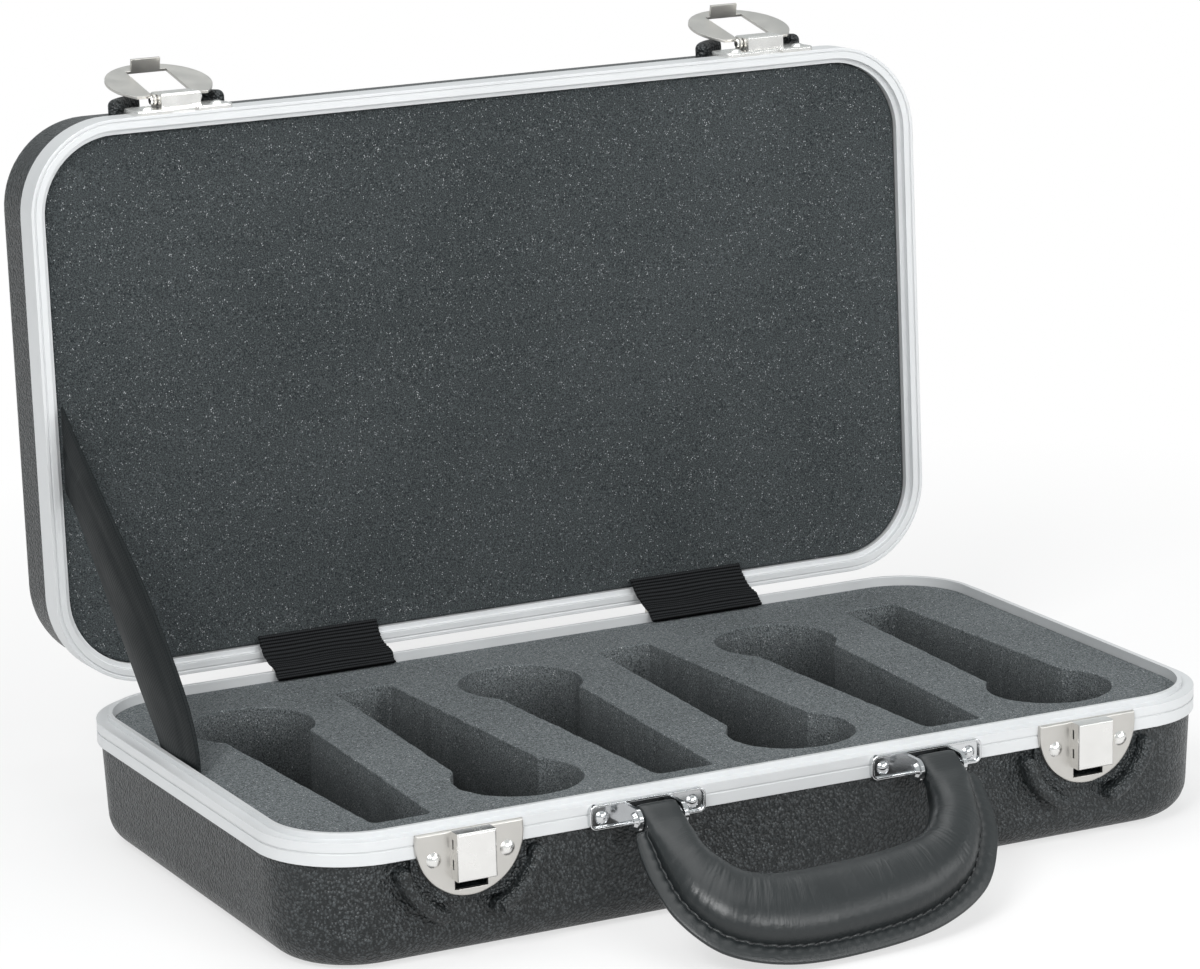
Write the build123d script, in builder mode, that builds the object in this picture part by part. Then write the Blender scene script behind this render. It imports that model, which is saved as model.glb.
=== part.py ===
from build123d import *
from math import asin, cos, degrees, radians, sin
import os

# A flight case for six hand-held microphones, drawn standing open.
# Millimetres. X runs along the case, +Y to the hinges, +Z up. The origin is the
# middle of the flat face that the base rests on.

# ---- overall sizes -------------------------------------------------------
width = 430.0
depth = 244.0
corner_radius = 40.0
base_height = 54.6          # floor to the parting line
lid_height = 47.0           # parting line to the top of the closed lid
lid_open_angle = 92.1       # how far the stay strap lets the lid go

# ---- moulded shells ------------------------------------------------------
shell_wall = 3.0
shell_inset = 1.4           # shell face behind the face of the metal frame
base_draft = 2.5            # how far the base narrows towards the floor
base_edge_radius = 14.0
lid_draft = 1.0
lid_edge_radius = 9.0
shell_gap = 0.2             # shell rim to the metal that holds it

# ---- aluminium closing frames --------------------------------------------
frame_web = 1.2
base_frame_height = 9.6
lid_frame_height = 13.4
tongue_inset = 5.0          # frame face to the outer side of the tongue
tongue_width = 2.0
tongue_height = 2.4
recess_clearance = 0.2
recess_depth = 2.8
groove_width = 0.7
groove_depth = 0.4

# ---- foam ----------------------------------------------------------------
foam_gap = 0.2
foam_top_drop = 1.6         # foam face below the parting line
lid_foam_drop = 4.7         # lid foam face above the parting line
foam_edge = 9.0
slot_count = 6
slot_pitch = (width - 50.44) / slot_count
slot_depth = 45.0
head_radius = 27.0
head_place = 57.0           # head centre from the middle of a slot row
head_shift = 11.5           # the rows with the head in front sit further forward
neck_wide = 19.0
neck_narrow = 13.0
neck_start = 36.0
neck_end = -95.0

# ---- front latches -------------------------------------------------------
latch_from_end = 72.6
latch_place = width / 2 - latch_from_end
plate_thick = 1.8
plate_edge = 0.9            # rounding of the pressed plates
plate_gap = 0.2             # plates stay this far from the parting line
plate_radius = 23.5
plate_centre_drop = 4.3     # plate centre below the parting line
catch_half = 8.5
catch_height = 19.6
catch_reach = 6.6
catch_wall = 1.2
catch_edge = 1.0
slit_width = 1.1
slit_height = 4.0
tongue_slot_half = 7.2
tongue_slot_low = 24.7      # below the parting line
tongue_slot_high = 20.6
rivet_radius = 1.6
rivet_head = 3.2
rivet_dome = 1.6
rivet_fit = 0.05
latch_rivet_out = 15.9      # rivets of a latch plate, from its middle
latch_rivet_drop = 11.1
bracket_rivet_drop = 5.8
mount_rivet_out = 16.0
mount_rivet_rise = 4.4

# ---- lid hasps -----------------------------------------------------------
mount_thick = 2.0
mount_half = 22.4
mount_height = 18.0
mount_edge = 0.8
mount_dome = 1.4
notch_half = 6.0            # notch in the lower edge of the mount plate
notch_height = 2.6
barrel_half = 9.0
barrel_reach = 8.0
barrel_low = 5.2            # above the parting line
barrel_high = 17.6
barrel_wall = 1.2
hasp_pin_rise = 12.0        # pin above the parting line
hasp_pin_out = 4.9          # pin in front of the frame face
hasp_pin_radius = 1.5
hasp_thick = 1.2
hasp_lug_thick = 1.2
hasp_lug_radius = 2.6
hasp_side_gap = 0.4
hasp_radius = 23.2          # the hasp is a disc that covers the latch plate
hasp_disc_drop = 19.0       # pin to the middle of the disc
hasp_top_drop = 2.5         # pin to the straight edge beside it
hasp_tongue_drop = 34.2     # pin to the tongue, which is bent from the window
hasp_tongue = 6.4
hasp_tongue_half = 6.7
hasp_open_angle = 166.2
pin_fit = 0.08

# ---- moulded guards round the latches ------------------------------------
guard_width = 6.0
guard_reach = 5.6
base_guard_radius = 30.4
lid_guard_radius = 28.5
base_guard_drop = 6.6
lid_guard_rise = 6.6
upright = 90.0
guard_near = 24.0           # angles from the vertical
base_guard_far = 73.0
lid_guard_far = 56.0

# ---- carrying handle -----------------------------------------------------
bracket_place = 64.3
bracket_half = 26.0
bracket_height = 10.4
bracket_thick = 1.2
bracket_rim = 1.2           # width and height of the raised rim
bracket_rivet = 20.2
bracket_rivet_head = 3.0
bracket_rivet_dome = 1.8
ear_place = 10.0
ear_thick = 1.6
ear_radius = 4.6
handle_pin_out = 11.4
handle_pin_drop = 5.8       # pin below the parting line
handle_pin_radius = 2.0
handle_eye_radius = 3.2
handle_eye_stem = 9.0
handle_drop = 85.0          # pin to the outer edge of the grip
handle_opening = 38.5       # pin to the inner edge of the grip
handle_outer_half = 78.0
handle_inner_half = 54.0
handle_lean = 5.0           # the soft grip hangs this far to the left at its bottom
grip_thick = 24.0
grip_end_thick = 9.2
grip_end_half = 8.6
grip_end_back = 5.6         # how far the padding goes past the pins
grip_start = 7.0
welt_thick = 5.0
floor_gap = 0.15

# ---- hinges and soft pieces ----------------------------------------------
hinge_place = width / 2 - 122.7
hinge_width = 50.0
hinge_out = 5.0
hinge_drop = 1.7
knuckle_radius = 3.0
hinge_pin_radius = 1.5
leaf_thick = 1.2
knuckle_gap = 0.3
cover_width = 57.0
cloth_thick = 1.2
cover_reach = 15.0          # rear face to the end on the base foam
cover_turn = 6.0
cover_far = 11.0
cover_rise = 10.0
strap_from_end = 12.0
strap_sag = 2.4
foot_place = width / 2 - 69.5
foot_length = 65.0
foot_height = 23.0
foot_reach = 5.0
foot_corner = 5.0
base_foot_height = 26.5
lid_foot_rise = 29.0

# ---- sizes that follow from those above ----------------------------------
front = -depth / 2
rear = depth / 2
shell_rim = base_height - frame_web - shell_gap
tongue_top = base_height + tongue_height
closed_height = base_height + lid_height
recess_start = tongue_inset - recess_clearance
tongue_end = tongue_inset + tongue_width
foam_inset = tongue_end + foam_gap
foam_top = base_height - foam_top_drop
base_shell_inner = shell_inset + shell_wall
lid_floor = base_height + recess_depth
lid_rim = lid_floor + frame_web + shell_gap
lid_frame_top = base_height + lid_frame_height
lid_foam_face = base_height + lid_foam_drop
hinge_axis = Axis((0, rear + hinge_out, base_height - hinge_drop), (1, 0, 0))
hasp_pin_height = base_height + hasp_pin_rise
hasp_axis = Axis((0, front - hasp_pin_out, hasp_pin_height), (1, 0, 0))
handle_height = base_height - handle_pin_drop
handle_axis = Axis((0, front - handle_pin_out, handle_height), (1, 0, 0))
handle_rest_angle = degrees(asin((handle_height - welt_thick / 2 - floor_gap) / handle_drop))

# Drawing planes on the front and rear faces: local x is along the case or back
# along it, local y is the height, and the normal points away from the case.
front_face = Plane(origin=(0, front, 0), x_dir=(1, 0, 0), z_dir=(0, -1, 0))
rear_face = Plane(origin=(0, rear, 0), x_dir=(-1, 0, 0), z_dir=(0, 1, 0))


def ring(outer_inset, inner_inset, bottom, top, mode=Mode.ADD):
    """A band that follows the outline of the case between two insets."""
    with BuildSketch(Plane.XY.offset(bottom)) as band:
        RectangleRounded(width - 2 * outer_inset, depth - 2 * outer_inset,
                         corner_radius - outer_inset)
        RectangleRounded(width - 2 * inner_inset, depth - 2 * inner_inset,
                         corner_radius - inner_inset, mode=Mode.SUBTRACT)
    extrude(band.sketch, amount=top - bottom, mode=mode)


def tray(inset, open_height, closed_height, draft, edge_radius):
    """A solid block with drafted walls and a rounded edge at its closed end."""
    with BuildPart() as block:
        with BuildSketch(Plane.XY.offset(open_height)):
            RectangleRounded(width - 2 * inset, depth - 2 * inset, corner_radius - inset)
        with BuildSketch(Plane.XY.offset(closed_height)):
            RectangleRounded(width - 2 * inset - 2 * draft, depth - 2 * inset - 2 * draft,
                             corner_radius - inset - draft)
        loft()
        closed = block.faces().filter_by(Axis.Z)
        closed = closed.sort_by(Axis.Z)[0 if closed_height < open_height else -1]
        fillet(closed.edges(), edge_radius)
    return block.part


def drill(places, radius, amount):
    """Round holes through everything behind the front face, at (x, height)."""
    with BuildSketch(front_face.offset(20)) as holes:
        with Locations(*places):
            Circle(radius)
    extrude(holes.sketch, amount=-20 - amount, mode=Mode.SUBTRACT)


def rivet(plane, places, length, head=rivet_head, dome=rivet_dome, radius=rivet_radius):
    """Domed rivets whose heads sit on the plane and whose shanks go behind it."""
    with BuildSketch(plane) as shanks:
        with Locations(*places):
            Circle(radius)
    extrude(shanks.sketch, amount=-length)
    for place in places:
        middle = plane.from_local_coords((place[0], place[1], 0))
        across = Plane(origin=middle, x_dir=plane.x_dir, z_dir=-plane.y_dir)
        with BuildSketch(across) as half:
            with BuildLine():
                ThreePointArc((0, dome), (0.62 * head, 0.66 * dome), (head, 0))
                Polyline((head, 0), (0, 0), (0, dome))
            make_face()
        revolve(half.sketch, axis=Axis(middle, plane.z_dir))


def guards(centre_x, centre_height, radius, direction, far):
    """Two round-topped ridges, left and right of a latch, on the front face."""
    crown = guard_width / 2
    for side in (-1, 1):
        start = direction * (upright - side * guard_near)
        swing = -side * direction * (far - guard_near)
        with BuildSketch(front_face.offset(-shell_wall)) as foot:
            with BuildLine() as middle:
                CenterArc((centre_x, centre_height), radius, start, swing)
            SlotArc(middle.edges()[0], guard_width)
        extrude(foot.sketch, amount=shell_wall + guard_reach - crown)
        ridge = front_face.offset(guard_reach - crown)
        with BuildLine(ridge) as crest:
            CenterArc((centre_x, centre_height), radius, start, swing)
        with BuildSketch(Plane(crest.edges()[0] @ 0, z_dir=crest.edges()[0] % 0)) as round_top:
            Circle(crown)
        sweep(round_top.sketch, path=crest.wires()[0])
        with Locations(crest.edges()[0] @ 0, crest.edges()[0] @ 1):
            Sphere(crown)


latches = (-latch_place, latch_place)
brackets = (-bracket_place, bracket_place)
plate_centre = base_height - plate_centre_drop
latch_rivet_height = base_height - latch_rivet_drop
latch_rivets = [(x + s * latch_rivet_out, latch_rivet_height)
                for x in latches for s in (-1, 1)]
bracket_rivet_height = base_height - bracket_rivet_drop
bracket_rivets_at = [(x + s * bracket_rivet, bracket_rivet_height)
                     for x in brackets for s in (-1, 1)]
mount_rivets = [(x + s * mount_rivet_out, base_height + mount_rivet_rise)
                for x in latches for s in (-1, 1)]
frame_foot = base_height - base_frame_height

# ======================== base ============================================
with BuildPart() as base_shell:
    add(tray(shell_inset, shell_rim, 0, base_draft, base_edge_radius))
    add(tray(base_shell_inner, shell_rim + 1, shell_wall, base_draft,
             base_edge_radius - shell_wall), mode=Mode.SUBTRACT)
    # pads that bring the wall out to the latch plates, and the guards round them
    for x in latches:
        with BuildSketch(front_face.offset(-0.1)) as pad:
            with Locations((x, frame_foot - 10)):
                Rectangle(2 * plate_radius + 3, 19.8)
        extrude(pad.sketch, amount=-shell_wall)
        guards(x, base_height - base_guard_drop, base_guard_radius, -1, base_guard_far)
        with BuildSketch(front_face.offset(5)) as catch_hole:
            with Locations((x, base_height - (tongue_slot_low + tongue_slot_high) / 2)):
                Rectangle(2 * tongue_slot_half, tongue_slot_low - tongue_slot_high)
        extrude(catch_hole.sketch, amount=-16, mode=Mode.SUBTRACT)
    # feet on the rear wall, for standing the case on its hinge side
    with BuildSketch(rear_face.offset(-shell_wall)) as feet:
        with Locations((-foot_place, base_foot_height), (foot_place, base_foot_height)):
            RectangleRounded(foot_length, foot_height, foot_corner)
    extrude(feet.sketch, amount=shell_wall + foot_reach - shell_inset, taper=12)
    drill(latch_rivets, rivet_radius + rivet_fit, 12)
    drill(bracket_rivets_at, rivet_radius + rivet_fit, 12)
base_shell.part.label = "base_shell"

with BuildPart() as base_frame:
    ring(0, frame_web, frame_foot, base_height)
    ring(0, tongue_end, base_height - frame_web, base_height)
    ring(tongue_inset, tongue_end, frame_foot - 1, tongue_top)
    ring(-1, groove_depth, base_height - 4 - groove_width, base_height - 4, Mode.SUBTRACT)
    drill(bracket_rivets_at + latch_rivets, rivet_radius + rivet_fit, tongue_inset - 0.5)
base_frame.part.label = "base_frame"

with BuildPart() as base_foam:
    with BuildSketch(Plane.XY.offset(shell_wall + 0.3)):
        RectangleRounded(width - 2 * foam_inset, depth - 2 * foam_inset,
                         corner_radius - foam_inset)
    extrude(amount=foam_top - shell_wall - 0.3)
    chamfer(base_foam.faces().sort_by(Axis.Z)[0].edges(), foam_edge)
    # each slot has the outline of a microphone; every other one points the other way
    for i in range(slot_count):
        slot_x = (i - (slot_count - 1) / 2) * slot_pitch
        turn = 1 if i % 2 == 0 else -1
        shift = 0 if turn == 1 else -head_shift
        head_y = turn * head_place + shift
        with BuildSketch(Plane.XY.offset(foam_top)) as outline:
            with Locations((slot_x, head_y)):
                Circle(head_radius)
            with BuildLine():
                Polyline((slot_x - neck_wide, head_y),
                         (slot_x - neck_wide, turn * neck_start + shift),
                         (slot_x - neck_narrow, turn * (neck_end + 4) + shift),
                         (slot_x - neck_narrow + 4, turn * neck_end + shift),
                         (slot_x + neck_narrow - 4, turn * neck_end + shift),
                         (slot_x + neck_narrow, turn * (neck_end + 4) + shift),
                         (slot_x + neck_wide, turn * neck_start + shift),
                         (slot_x + neck_wide, head_y), close=True)
            make_face()
        extrude(outline.sketch, amount=-slot_depth, mode=Mode.SUBTRACT)
base_foam.part.label = "base_foam"

with BuildPart() as latch_plates:
    with BuildSketch(front_face):
        for x in latches:
            with Locations((x, plate_centre)):
                Circle(plate_radius)
            with Locations((x, base_height - plate_gap + plate_radius)):
                Rectangle(3 * plate_radius, 2 * plate_radius, mode=Mode.SUBTRACT)
            with Locations((x, base_height - (tongue_slot_low + tongue_slot_high) / 2)):
                Rectangle(2 * tongue_slot_half, tongue_slot_low - tongue_slot_high,
                          mode=Mode.SUBTRACT)
        with Locations(*latch_rivets):
            Circle(rivet_radius + rivet_fit, mode=Mode.SUBTRACT)
    extrude(amount=plate_thick)
    rims = latch_plates.faces().sort_by(Axis.Y)[:2]
    fillet([edge for rim in rims for edge in rim.outer_wire().edges()], plate_edge)

with BuildPart() as latch_plate_left:
    add(latch_plates.solids().sort_by(Axis.X)[0])
latch_plate_left.part.label = "latch_plate_left"

with BuildPart() as latch_plate_right:
    add(latch_plates.solids().sort_by(Axis.X)[-1])
latch_plate_right.part.label = "latch_plate_right"

catch_top = base_height - plate_gap
with BuildPart() as latch_boxes:
    for x in latches:
        with BuildSketch(front_face.offset(plate_thick)) as outside:
            with Locations((x, catch_top - catch_height / 2)):
                Rectangle(2 * catch_half, catch_height)
        extrude(outside.sketch, amount=catch_reach)
    fillet(latch_boxes.faces().sort_by(Axis.Y)[:2].edges(), catch_edge)
    for x in latches:
        with BuildSketch(front_face.offset(plate_thick)) as hollow:
            with Locations((x, catch_top - catch_height / 2)):
                Rectangle(2 * (catch_half - catch_wall), catch_height - 2 * catch_wall)
        extrude(hollow.sketch, amount=catch_reach - catch_wall, mode=Mode.SUBTRACT)
        with BuildSketch(Plane.YZ.offset(x - 2 * catch_half)) as slits:
            for down in (0.26, 0.68):
                with Locations((front - plate_thick - 0.32 * catch_reach,
                                catch_top - down * catch_height)):
                    Rectangle(slit_width, slit_height)
        extrude(slits.sketch, amount=4 * catch_half, mode=Mode.SUBTRACT)

with BuildPart() as latch_box_left:
    add(latch_boxes.solids().sort_by(Axis.X)[0])
latch_box_left.part.label = "latch_box_left"

with BuildPart() as latch_box_right:
    add(latch_boxes.solids().sort_by(Axis.X)[-1])
latch_box_right.part.label = "latch_box_right"

# the catch spring: a bent strip inside each box that holds the tongue of the hasp
spring_half = catch_half - catch_wall - 1.5
with BuildPart() as catch_springs:
    for x in latches:
        with BuildSketch(Plane.YZ.offset(x - spring_half)) as strip:
            with BuildLine():
                bend = FilletPolyline((front - plate_thick - 1.6, catch_top - catch_height + 3),
                                      (front - plate_thick - 4.6, catch_top - catch_height / 2),
                                      (front - plate_thick - 1.6, catch_top - 3), radius=3)
                offset(bend, amount=0.35, side=Side.BOTH)
            make_face()
        extrude(strip.sketch, amount=2 * spring_half)

with BuildPart() as latch_spring_left:
    add(catch_springs.solids().sort_by(Axis.X)[0])
latch_spring_left.part.label = "latch_spring_left"

with BuildPart() as latch_spring_right:
    add(catch_springs.solids().sort_by(Axis.X)[-1])
latch_spring_right.part.label = "latch_spring_right"

with BuildPart() as base_latch_rivets:
    rivet(front_face.offset(plate_thick), latch_rivets, plate_thick + shell_wall)
base_latch_rivets.part.label = "base_latch_rivets"

# ======================== handle brackets and pins ========================
bracket_middle = base_height - plate_gap - bracket_height / 2
with BuildPart() as bracket_pair:
    with BuildSketch(front_face):
        with Locations(*[(x, bracket_middle) for x in brackets]):
            RectangleRounded(2 * bracket_half, bracket_height, 3)
        with Locations(*bracket_rivets_at):
            Circle(rivet_radius + rivet_fit, mode=Mode.SUBTRACT)
    extrude(amount=bracket_thick)
    with BuildSketch(front_face.offset(bracket_thick)):
        with Locations(*[(x, bracket_middle) for x in brackets]):
            RectangleRounded(2 * bracket_half, bracket_height, 3)
            RectangleRounded(2 * (bracket_half - bracket_rim), bracket_height - 2 * bracket_rim,
                             3 - bracket_rim, mode=Mode.SUBTRACT)
    extrude(amount=bracket_rim)
    fillet(bracket_pair.faces().sort_by(Axis.Y)[:2].edges(), 0.4 * bracket_rim)
    for x in brackets:
        for side in (-1, 1):
            ear_x = x + side * ear_place - ear_thick / 2
            with BuildSketch(Plane.YZ.offset(ear_x)) as ear:
                with Locations((front - handle_pin_out, handle_height)):
                    Circle(ear_radius)
                with Locations((front - (handle_pin_out + bracket_thick) / 2, handle_height)):
                    Rectangle(handle_pin_out - bracket_thick, 2 * ear_radius)
                with Locations((front - handle_pin_out, handle_height)):
                    Circle(handle_pin_radius + pin_fit, mode=Mode.SUBTRACT)
            extrude(ear.sketch, amount=ear_thick)

with BuildPart() as handle_bracket_left:
    add(bracket_pair.solids().sort_by(Axis.X)[0])
handle_bracket_left.part.label = "handle_bracket_left"

with BuildPart() as handle_bracket_right:
    add(bracket_pair.solids().sort_by(Axis.X)[-1])
handle_bracket_right.part.label = "handle_bracket_right"

with BuildPart() as bracket_rivets:
    rivet(front_face.offset(bracket_thick), bracket_rivets_at,
          bracket_thick + frame_web + shell_wall, head=bracket_rivet_head,
          dome=bracket_rivet_dome)
bracket_rivets.part.label = "bracket_rivets"

ear_outside = ear_place + ear_thick / 2
with BuildPart() as handle_pin_right:
    with BuildSketch(Plane.YZ.offset(bracket_place - ear_outside)):
        with Locations((front - handle_pin_out, handle_height)):
            Circle(handle_pin_radius)
    extrude(amount=2 * ear_outside)
    for side in (-1, 1):
        with BuildSketch(Plane.YZ.offset(bracket_place + side * ear_outside)) as button:
            with Locations((front - handle_pin_out, handle_height)):
                Circle(handle_pin_radius + 1.2)
        extrude(button.sketch, amount=side * 1.5, taper=25)
handle_pin_right.part.label = "handle_pin_right"

with BuildPart() as handle_pin_left:
    mirror(handle_pin_right.part, about=Plane.YZ)
handle_pin_left.part.label = "handle_pin_left"

# ======================== handle ==========================================
# Drawn level, pointing forward from its pins, then swung down to the floor.
eye_half = grip_end_half
handle_y = front - handle_pin_out
with BuildPart() as eye_level:
    with BuildSketch(Plane.YZ.offset(bracket_place - eye_half)):
        with Locations((handle_y, handle_height)):
            Circle(handle_eye_radius)
        with Locations((handle_y - handle_eye_stem / 2, handle_height)):
            Rectangle(handle_eye_stem, 2 * handle_eye_radius - 1.6)
        with Locations((handle_y, handle_height)):
            Circle(handle_pin_radius + pin_fit, mode=Mode.SUBTRACT)
    extrude(amount=2 * eye_half)

with BuildPart() as handle_eye_right:
    add(eye_level.part.rotate(handle_axis, handle_rest_angle))
handle_eye_right.part.label = "handle_eye_right"

with BuildPart() as handle_eye_left:
    mirror(handle_eye_right.part, about=Plane.YZ)
handle_eye_left.part.label = "handle_eye_left"

# Stations round one half of the grip: outer edge, inner edge (both as distance
# from the middle and from the pins) and thickness.
grip_stations = [
    ((bracket_place + grip_end_half - 0.2, grip_start),
     (bracket_place - grip_end_half + 0.2, grip_start), grip_end_thick),
    ((handle_outer_half, 0.31 * handle_drop),
     (handle_inner_half, 0.36 * handle_opening), 0.62 * grip_thick),
    ((handle_outer_half - 3.5, 0.56 * handle_drop),
     (handle_inner_half - 4, 0.64 * handle_opening), 0.84 * grip_thick),
    ((handle_outer_half - 18, 0.80 * handle_drop),
     (handle_inner_half - 11, 0.86 * handle_opening), 0.96 * grip_thick),
    ((handle_outer_half - 44, 0.955 * handle_drop),
     (handle_inner_half - 27, 0.985 * handle_opening), grip_thick),
    ((0, handle_drop), (0, handle_opening), grip_thick),
]


def leaned(point):
    """A point of the grip, moved to the left in proportion to its distance."""
    return point[0] - handle_lean * (point[1] - grip_start) / (handle_drop - grip_start), point[1]


def grip_section(outer, inner, thick):
    """A padded section: round at the inner side, narrowing to the sewn edge."""
    ox, oy = outer
    ix, iy = inner
    reach = ((ox - ix) ** 2 + (oy - iy) ** 2) ** 0.5
    start = Vector(ix, handle_y - iy, handle_height)
    along = Vector(ox - ix, iy - oy, 0).normalized()
    plane = Plane(origin=start, x_dir=along, z_dir=Vector(0, 0, 1).cross(along) * -1)
    edge = min(welt_thick, grip_end_thick) / 2
    belly = thick / 2
    with BuildSketch(plane) as section:
        with BuildLine():
            Line((0, -0.3 * belly), (0, 0.3 * belly))
            ThreePointArc((0, 0.3 * belly), (0.09 * reach, 0.72 * belly), (0.34 * reach, belly))
            ThreePointArc((0.34 * reach, belly), (0.66 * reach, 0.78 * belly), (reach, edge))
            Line((reach, edge), (reach, -edge))
            ThreePointArc((reach, -edge), (0.66 * reach, -0.78 * belly), (0.34 * reach, -belly))
            ThreePointArc((0.34 * reach, -belly), (0.09 * reach, -0.72 * belly), (0, -0.3 * belly))
        make_face()
    return section.sketch.faces()[0]


with BuildPart() as grip_level:
    right_half = [grip_section(leaned(o), leaned(i), t) for o, i, t in grip_stations]
    left_half = [grip_section(leaned((-o[0], o[1])), leaned((-i[0], i[1])), t)
                 for o, i, t in grip_stations[:-1]]
    loft(right_half + left_half[::-1])
    # the padding of each end wraps round the eye and its pin
    end_length = grip_end_back + grip_start + 1
    for x in brackets:
        with BuildSketch(Plane.YZ.offset(x - grip_end_half)) as end:
            with Locations((handle_y + grip_end_back - end_length / 2, handle_height)):
                RectangleRounded(end_length, grip_end_thick, 3.2)
        extrude(end.sketch, amount=2 * grip_end_half)
        with BuildSketch(Plane.YZ.offset(x - 2 * grip_end_half)) as eye_room:
            with Locations((handle_y, handle_height)):
                Circle(handle_eye_radius)
        extrude(eye_room.sketch, amount=4 * grip_end_half, mode=Mode.SUBTRACT)
    add(eye_level.part, mode=Mode.SUBTRACT)
    add(mirror(eye_level.part, about=Plane.YZ, mode=Mode.PRIVATE), mode=Mode.SUBTRACT)

with BuildPart() as handle_grip:
    add(grip_level.part.rotate(handle_axis, handle_rest_angle))
handle_grip.part.label = "handle_grip"

# ======================== hinges ==========================================
hinge_y = rear + hinge_out
hinge_z = base_height - hinge_drop
segment = hinge_width / 5
leaf_rivets = [s * hinge_width / 3 for s in (-1, 0, 1)]


def hinge_leaf(numbers, low, high, arm_side, rivet_height):
    """A leaf on the rear face with knuckles at the numbered fifths of its width."""
    with BuildPart() as leaf:
        with BuildSketch(rear_face):
            with Locations((-hinge_place, (low + high) / 2)):
                Rectangle(hinge_width, high - low)
            with Locations(*[(-hinge_place + d, rivet_height) for d in leaf_rivets]):
                Circle(1.2 + rivet_fit, mode=Mode.SUBTRACT)
        extrude(amount=leaf_thick)
        for n in numbers:
            start = hinge_place - hinge_width / 2 + n * segment + knuckle_gap / 2
            arm_z = hinge_z + arm_side * (knuckle_radius - leaf_thick / 2)
            with BuildSketch(Plane.YZ.offset(start)) as knuckle:
                with Locations(((rear + hinge_y) / 2, arm_z)):
                    Rectangle(hinge_out, leaf_thick)
                with Locations((hinge_y, hinge_z)):
                    Circle(knuckle_radius)
                    Circle(hinge_pin_radius + pin_fit, mode=Mode.SUBTRACT)
            extrude(knuckle.sketch, amount=segment - knuckle_gap)
    return leaf.part


base_leaf_low = frame_foot + 0.3
base_rivet_height = frame_foot + 2.6
with BuildPart() as base_hinge_leaf_right:
    add(hinge_leaf((0, 2, 4), base_leaf_low, base_height - 0.3, -1, base_rivet_height))
base_hinge_leaf_right.part.label = "base_hinge_leaf_right"

with BuildPart() as base_hinge_leaf_left:
    mirror(base_hinge_leaf_right.part, about=Plane.YZ)
base_hinge_leaf_left.part.label = "base_hinge_leaf_left"

with BuildPart() as hinge_pin_right:
    with BuildSketch(Plane.YZ.offset(hinge_place - hinge_width / 2)):
        with Locations((hinge_y, hinge_z)):
            Circle(hinge_pin_radius)
    extrude(amount=hinge_width)
hinge_pin_right.part.label = "hinge_pin_right"

with BuildPart() as hinge_pin_left:
    mirror(hinge_pin_right.part, about=Plane.YZ)
hinge_pin_left.part.label = "hinge_pin_left"

hinge_rivet_x = [side * hinge_place + d for side in (-1, 1) for d in leaf_rivets]
with BuildPart() as base_hinge_rivets:
    rivet(rear_face.offset(leaf_thick), [(x, base_rivet_height) for x in hinge_rivet_x],
          leaf_thick, head=2.0, dome=1.0, radius=1.2)
base_hinge_rivets.part.label = "base_hinge_rivets"

# ======================== lid, drawn closed and then opened ===============
lid_rivet_height = base_height + 7.5
with BuildPart() as lid_shell_closed:
    add(tray(shell_inset, lid_rim, closed_height, lid_draft, lid_edge_radius))
    add(tray(base_shell_inner, lid_rim - 1, closed_height - shell_wall, lid_draft,
             lid_edge_radius - shell_wall), mode=Mode.SUBTRACT)
    for x in latches:
        with BuildSketch(front_face.offset(-0.1)) as pad:
            with Locations((x, lid_frame_top + 0.2 + 3.5)):
                Rectangle(2 * mount_half + 2, 7)
        extrude(pad.sketch, amount=-shell_wall)
        guards(x, base_height + lid_guard_rise, lid_guard_radius, 1, lid_guard_far)
    with BuildSketch(rear_face.offset(-shell_wall)) as feet:
        with Locations((-foot_place, base_height + lid_foot_rise),
                       (foot_place, base_height + lid_foot_rise)):
            RectangleRounded(foot_length, foot_height, foot_corner)
    extrude(feet.sketch, amount=shell_wall + foot_reach - shell_inset, taper=12)

with BuildPart() as lid_frame_closed:
    ring(0, frame_web, base_height, lid_frame_top)
    ring(0, recess_start, base_height, base_height + frame_web)
    ring(recess_start - 1, recess_start, base_height, lid_floor + frame_web)
    ring(0, tongue_end, lid_floor, lid_floor + frame_web)
    ring(tongue_end - frame_web, tongue_end, lid_floor, lid_floor + 5)
    ring(1.4, 1.4 + groove_width, base_height - 1, base_height + groove_depth, Mode.SUBTRACT)

with BuildPart() as lid_foam_closed:
    with BuildSketch(Plane.XY.offset(lid_foam_face)):
        RectangleRounded(width - 2 * foam_inset, depth - 2 * foam_inset,
                         corner_radius - foam_inset)
    extrude(amount=closed_height - shell_wall - 0.3 - lid_foam_face)
    chamfer(lid_foam_closed.faces().sort_by(Axis.Z)[-1].edges(), lid_edge_radius - 2)

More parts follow.
